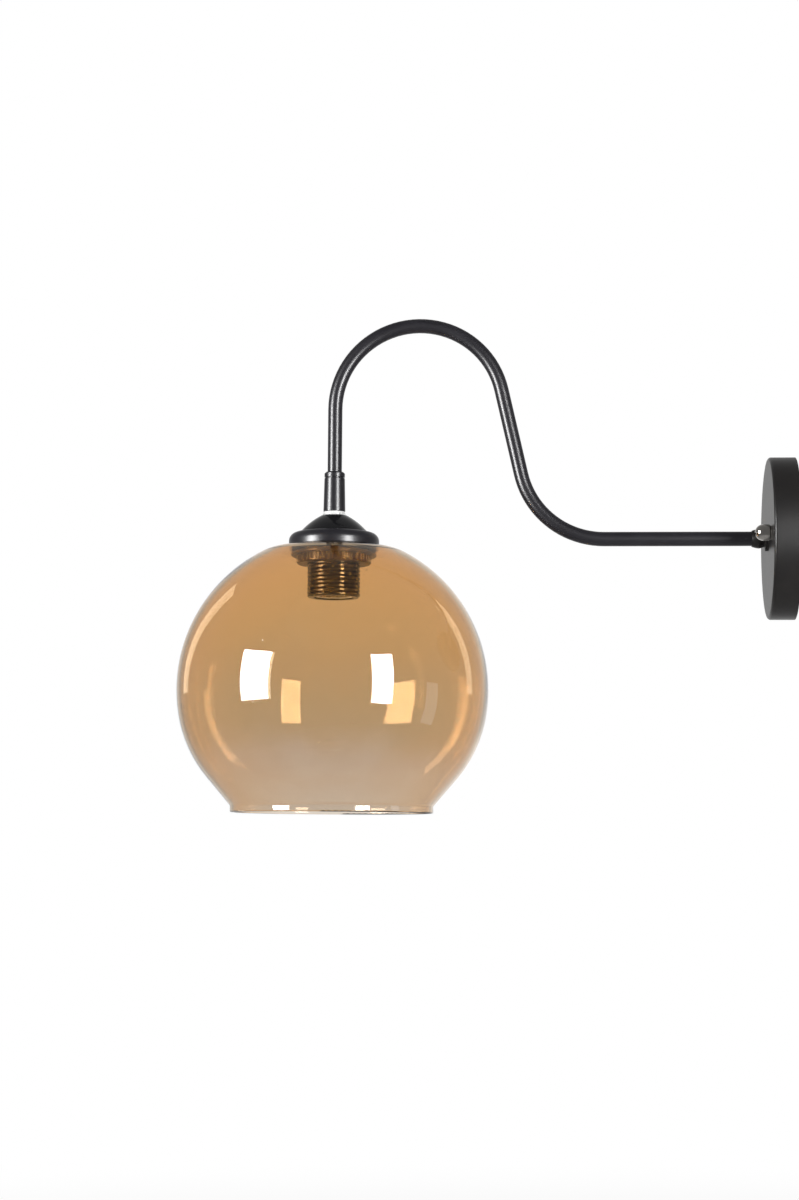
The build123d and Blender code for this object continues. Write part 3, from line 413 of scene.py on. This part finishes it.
def rolled_shell():
    """The lamp's screw shell: one sheet with the thread rolled into it, and a flat flange on top."""
    mesh = bmesh.new()
    outer = SHELL_BORE + SHELL_SHEET
    top = SHELL_TOP - SHELL_SHEET
    for root in (SHELL_BORE, outer):
        crest = root - LAMP_THREAD
        threaded_face(mesh, root, crest, top, SHELL_BOTTOM, LAMP_PITCH, round_ridge)
    lathe(mesh, (
        (SHELL_BORE, top),
        (SHELL_BORE, SHELL_TOP),
        (SHELL_FLANGE_BORE, SHELL_TOP),
        (SHELL_FLANGE_BORE, SHELL_TOP + SHELL_SHEET),
        (outer, SHELL_TOP + SHELL_SHEET),
        (outer, top),
    ))
    lathe(mesh, ((SHELL_BORE, SHELL_BOTTOM), (outer, SHELL_BOTTOM)))
    return add_piece(mesh, "rolled_screw_shell", "screw_shell", "lampholder")


def coil_spring():
    """The contact's spring: a round wire in four turns, the last half turn at each end closed up."""
    mesh = bmesh.new()
    clearance = 0.00008  # between the wire and the walls it stands in
    wire = (SPRING_OUTER - SPRING_INNER) / 2 - clearance
    middle = (SPRING_OUTER + SPRING_INNER) / 2
    low, high = SPRING_LOW + wire, SPRING_HIGH - wire
    turns, steps, sides = 4, 40, 10
    closed = 0.5 / turns  # share of the wire that lies flat at each end
    around = [2 * pi * side / sides for side in range(sides)]
    up = Vector((0, 0, 1))
    rings = []
    for step in range(turns * steps + 1):
        share = step / (turns * steps)
        climb = min(1.0, max(0.0, (share - closed) / (1 - 2 * closed)))
        turn = 2 * pi * turns * share
        outwards = Vector((cos(turn), sin(turn), 0))
        centre = middle * outwards + (low + (high - low) * climb) * up
        rings.append([mesh.verts.new(centre + wire * (cos(a) * outwards + sin(a) * up)) for a in around])
    join_rings(mesh, rings)
    mesh.faces.new(rings[0])
    mesh.faces.new(rings[-1])
    piece = add_piece(mesh, "coiled_contact_spring", "contact_spring", "lampholder")
    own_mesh(piece)
    return piece


for piece in (threaded_skirt(), rolled_shell(), coil_spring()):
    sharpen(piece)

# ---------------------------------------------------------------- camera
CAMERA_PLACE = Vector((-0.16168, -1.65517, -0.2138))
CAMERA_TURN = radians(3.83)
CAMERA_PITCH = radians(5.90)
CAMERA_ROLL = radians(0.38)
FOCAL_LENGTH = 72.0
SENSOR = 36.0  # along the picture's long side

level_forward = Vector((-sin(CAMERA_TURN), cos(CAMERA_TURN), 0))
forward = cos(CAMERA_PITCH) * level_forward + Vector((0, 0, sin(CAMERA_PITCH)))
level_right = Vector((cos(CAMERA_TURN), sin(CAMERA_TURN), 0))
level_up = level_right.cross(forward)
right = cos(CAMERA_ROLL) * level_right + sin(CAMERA_ROLL) * level_up
up = cos(CAMERA_ROLL) * level_up - sin(CAMERA_ROLL) * level_right
lens = bpy.data.cameras.new("camera")
lens.lens = FOCAL_LENGTH
lens.sensor_width = SENSOR
camera = bpy.data.objects.new("camera", lens)
camera.matrix_world = Matrix((right, up, -forward)).transposed().to_4x4()
camera.location = CAMERA_PLACE
scene.collection.objects.link(camera)
scene.camera = camera

# ---------------------------------------------------------------- lights
AIM = Vector((SHADE_AXIS, 0, -0.105))  # the middle of the globe
SOFTBOX_RADIANCE = 11.0
FACE_RADIANCE = 36.0
STRIP_RADIANCE = 3.4
PANEL_RADIANCE = 1.5


def softbox(name, turn, rise, width, height, radiance, distance=1.7):
    """A flat lamp that faces the shade: turn from -Y towards +X, and rise, in degrees."""
    across, lift = radians(turn), radians(rise)
    way = Vector((sin(across) * cos(lift), -cos(across) * cos(lift), sin(lift)))
    lamp = bpy.data.lights.new(name, "AREA")
    lamp.shape = "RECTANGLE"
    lamp.size = width
    lamp.size_y = height
    lamp.energy = radiance * pi * width * height
    obj = bpy.data.objects.new(name, lamp)
    obj.location = AIM + distance * way
    obj.rotation_euler = way.to_track_quat("Z", "Y").to_euler()
    obj.visible_camera = False
    scene.collection.objects.link(obj)
    return obj


for side, turn, rise, width, height in (("left", -53, 7, 0.62, 0.90), ("right", 41, 5, 0.46, 0.95)):
    light = softbox(side + "_softbox", turn, rise, width, height, SOFTBOX_RADIANCE)
    light.visible_glossy = light.visible_transmission = False
    # The softbox's face as glass and gloss show it is brighter than the light that the lamp sends.
    # It stands a little in front, because a lamp in the same place would hide it.
    face = softbox(side + "_softbox_face", turn, rise, width, height, FACE_RADIANCE, distance=1.66)
    face.visible_diffuse = False
for side, turn in (("left", -124), ("right", 124)):
    strip = softbox(side + "_strip", turn, 20, 0.26, 1.15, STRIP_RADIANCE)
    strip.visible_glossy = strip.visible_diffuse = False  # it shows only through the glass
panel = softbox("right_panel", 80, -9, 0.30, 0.75, PANEL_RADIANCE)
panel.visible_transmission = panel.visible_diffuse = False  # it shows only in gloss

# What mirrors see round the studio, from the camera's side (0) to the white backdrop (1).
STUDIO_TONES = (
    (0.0, (0.12, 0.12, 0.12)),
    (0.5, (0.16, 0.16, 0.16)),
    (0.75, (0.24, 0.24, 0.24)),
    (0.895, (0.42, 0.42, 0.42)),
    (0.968, (0.72, 0.72, 0.72)),
    (1.0, (1.0, 1.0, 1.0)),
)
FILL_FRONT, FILL_BACK = 0.20, 0.75  # the world's diffuse light, from the camera's side and behind


def ray_kinds(shader):
    """Two masks: rays that see the white backdrop, and mirror rays.

    The backdrop is seen straight from the camera, or through glass with no reflection on the way.
    """
    path = shader.add("ShaderNodeLightPath")
    bent = path.outputs["Is Transmission Ray"]
    unreflected = shader.math("MAXIMUM", shader.math("SUBTRACT", 1.0, path.outputs["Glossy Depth"]), 0.0)
    through = shader.math("MULTIPLY", bent, unreflected)
    seen = shader.math("MAXIMUM", path.outputs["Is Camera Ray"], through)
    return seen, shader.math("MAXIMUM", path.outputs["Is Glossy Ray"], bent)


def depth_part(shader, direction):
    """The part of a direction that points away from the camera's side, -1 to 1."""
    toward = shader.add("ShaderNodeSeparateXYZ")
    shader.link(direction, toward.inputs["Vector"])
    return toward.outputs["Y"]


def studio_tone(shader, depth):
    return shader.tones(shader.remap(depth, 0.0, 1.0, -1.0, 1.0), STUDIO_TONES)


world = bpy.data.worlds.new("studio")
world.use_nodes = True
scene.world = world
studio = Shader(world.node_tree)
seen, mirror = ray_kinds(studio)
depth = depth_part(studio, studio.add("ShaderNodeTexCoord").outputs["Generated"])
fill = studio.remap(depth, FILL_FRONT, FILL_BACK, -1.0, 1.0)
reflected = studio.math("MULTIPLY", mirror, studio_tone(studio, depth))
diffused = studio.math("MULTIPLY", studio.math("SUBTRACT", 1.0, mirror), fill)
unseen = studio.math("SUBTRACT", 1.0, seen)
light_round = studio.math("MULTIPLY", unseen, studio.math("ADD", reflected, diffused))
sky = studio.add("ShaderNodeBackground", Color=(1, 1, 1, 1))
studio.link(studio.math("ADD", seen, light_round), sky.inputs["Strength"])
studio.link(sky.outputs["Background"], studio.add("ShaderNodeOutputWorld").inputs["Surface"])

# ---------------------------------------------------------------- floor
FLOOR_HEIGHT = -0.80
FLOOR_REACH = 40.0
FLOOR_COLOUR = (0.9, 0.9, 0.9, 1)
# The floor turns from a matt floor with a shadow into the plain backdrop, over these distances
# from the wall's foot, first for rays that see the backdrop and then for mirror rays.
SEEN_SHARES, SEEN_DISTANCES = (0.35, 1.0), (0.6, 3.0)
MIRROR_SHARES, MIRROR_DISTANCES = (0.8, 1.0), (0.3, 1.2)

floor_mesh = bpy.data.meshes.new("floor")
grid = bmesh.new()
bmesh.ops.create_grid(grid, x_segments=8, y_segments=8, size=FLOOR_REACH)
grid.to_mesh(floor_mesh)
grid.free()
floor = bpy.data.objects.new("floor", floor_mesh)
floor.location = (0, 0, FLOOR_HEIGHT)
scene.collection.objects.link(floor)

floor_material = bpy.data.materials.new("floor_finish")
floor_material.use_nodes = True
floor_mesh.materials.append(floor_material)
ground = Shader(floor_material.node_tree)
seen, mirror = ray_kinds(ground)
mirrored = ground.math("MAXIMUM", ground.math("SUBTRACT", mirror, seen), 0.0)
spot = ground.add("ShaderNodeTexCoord").outputs["Object"]

away = ground.add("ShaderNodeVectorMath", operation="LENGTH")
ground.link(spot, away.inputs[0])
seen_share = ground.remap(away.outputs["Value"], *SEEN_SHARES, *SEEN_DISTANCES, smooth=True)
mirror_share = ground.remap(away.outputs["Value"], *MIRROR_SHARES, *MIRROR_DISTANCES, smooth=True)
seen_part = ground.math("MULTIPLY", seen, seen_share)
mirror_part = ground.math("MULTIPLY", mirrored, mirror_share)

from_shade = ground.add("ShaderNodeVectorMath", operation="SUBTRACT")
ground.link(spot, from_shade.inputs[0])
from_shade.inputs[1].default_value = (AIM.x, AIM.y, AIM.z - FLOOR_HEIGHT)
direction = ground.add("ShaderNodeVectorMath", operation="NORMALIZE")
ground.link(from_shade.outputs["Vector"], direction.inputs[0])
tone = studio_tone(ground, depth_part(ground, direction.outputs["Vector"]))

matt = ground.add("ShaderNodeBsdfDiffuse", Color=FLOOR_COLOUR)
pale = ground.add("ShaderNodeEmission")
pale_strength = ground.math("MAXIMUM", seen, ground.math("MULTIPLY", mirrored, tone))
ground.link(pale_strength, pale.inputs["Strength"])
mix = ground.add("ShaderNodeMixShader")
ground.link(ground.math("MAXIMUM", seen_part, mirror_part), mix.inputs["Fac"])
ground.link(matt.outputs["BSDF"], mix.inputs[1])
ground.link(pale.outputs["Emission"], mix.inputs[2])
ground.link(mix.outputs["Shader"], ground.add("ShaderNodeOutputMaterial").inputs["Surface"])
